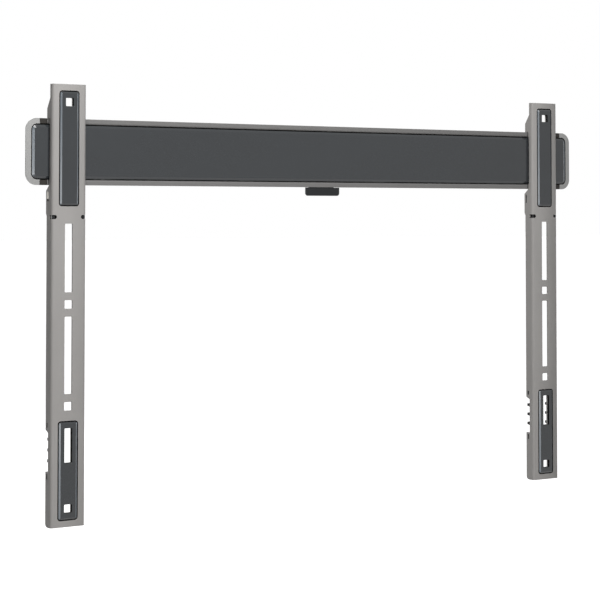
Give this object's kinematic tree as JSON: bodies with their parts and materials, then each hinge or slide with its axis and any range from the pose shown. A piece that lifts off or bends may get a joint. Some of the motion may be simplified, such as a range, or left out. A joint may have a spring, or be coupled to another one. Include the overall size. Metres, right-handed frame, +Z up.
{
  "type": "fixed tv wall bracket",
  "caption": "Slim fixed screen wall bracket: a slotted wall rail with moulded cover and end caps, and two vertical slotted arms with pads, hooked over the rail and held by sprung latches.",
  "frame": {"origin": "centre of the wall rail's back face, on the wall", "axes": "+Y into the wall, +X along the rail to the right as seen from the room, +Z up"},
  "size_m": [0.6864, 0.0305, 0.4357],
  "materials": {
    "rail_steel": "silver-grey powder coat, fine texture, satin",
    "arm_steel": "silver-grey powder coat, fine texture, satin",
    "cover_plastic": "anthracite moulded plastic, fine grain, satin",
    "pad_plastic": "anthracite moulded plastic, fine grain, satin",
    "cap_plastic": "silver-grey moulded plastic, satin",
    "tab_plastic": "dark grey moulded plastic, satin",
    "black_plastic": "black moulded plastic, satin",
    "latch_zinc": "zinc-plated pressed steel, satin",
    "spring_steel": "bright spring wire"
  },
  "bodies": {
    "bracket": {"wall_rail": "rail_steel", "rail_cover": "cover_plastic", "centre_tab": "tab_plastic", "end_cap_left": "cap_plastic", "end_cap_right": "cap_plastic", "end_stop_left": "black_plastic", "end_stop_right": "black_plastic", "arm_left": "arm_steel", "upper_pad_left": "pad_plastic", "lower_pad_left": "pad_plastic", "comb_insert_left": "black_plastic", "latch_guide_left": "black_plastic", "latch_spring_left": "spring_steel", "arm_right": "arm_steel", "upper_pad_right": "pad_plastic", "lower_pad_right": "pad_plastic", "comb_insert_right": "black_plastic", "latch_guide_right": "black_plastic", "latch_spring_right": "spring_steel"},
    "left_latch": {"latch_left": "latch_zinc"},
    "right_latch": {"latch_right": "latch_zinc"}
  },
  "joints": [
    {"name": "left_latch_slide", "type": "slide", "parent": "bracket", "child": "left_latch", "axis": [0, 0, 1], "range_m": [-0.0024, 0], "stiffness_N_per_m": 400, "springref_m": 0.004, "deforming": ["latch_spring_left"]},
    {"name": "right_latch_slide", "type": "slide", "parent": "bracket", "child": "right_latch", "axis": [0, 0, 1], "range_m": [-0.0024, 0], "stiffness_N_per_m": 400, "springref_m": 0.004, "deforming": ["latch_spring_right"]}
  ]
}
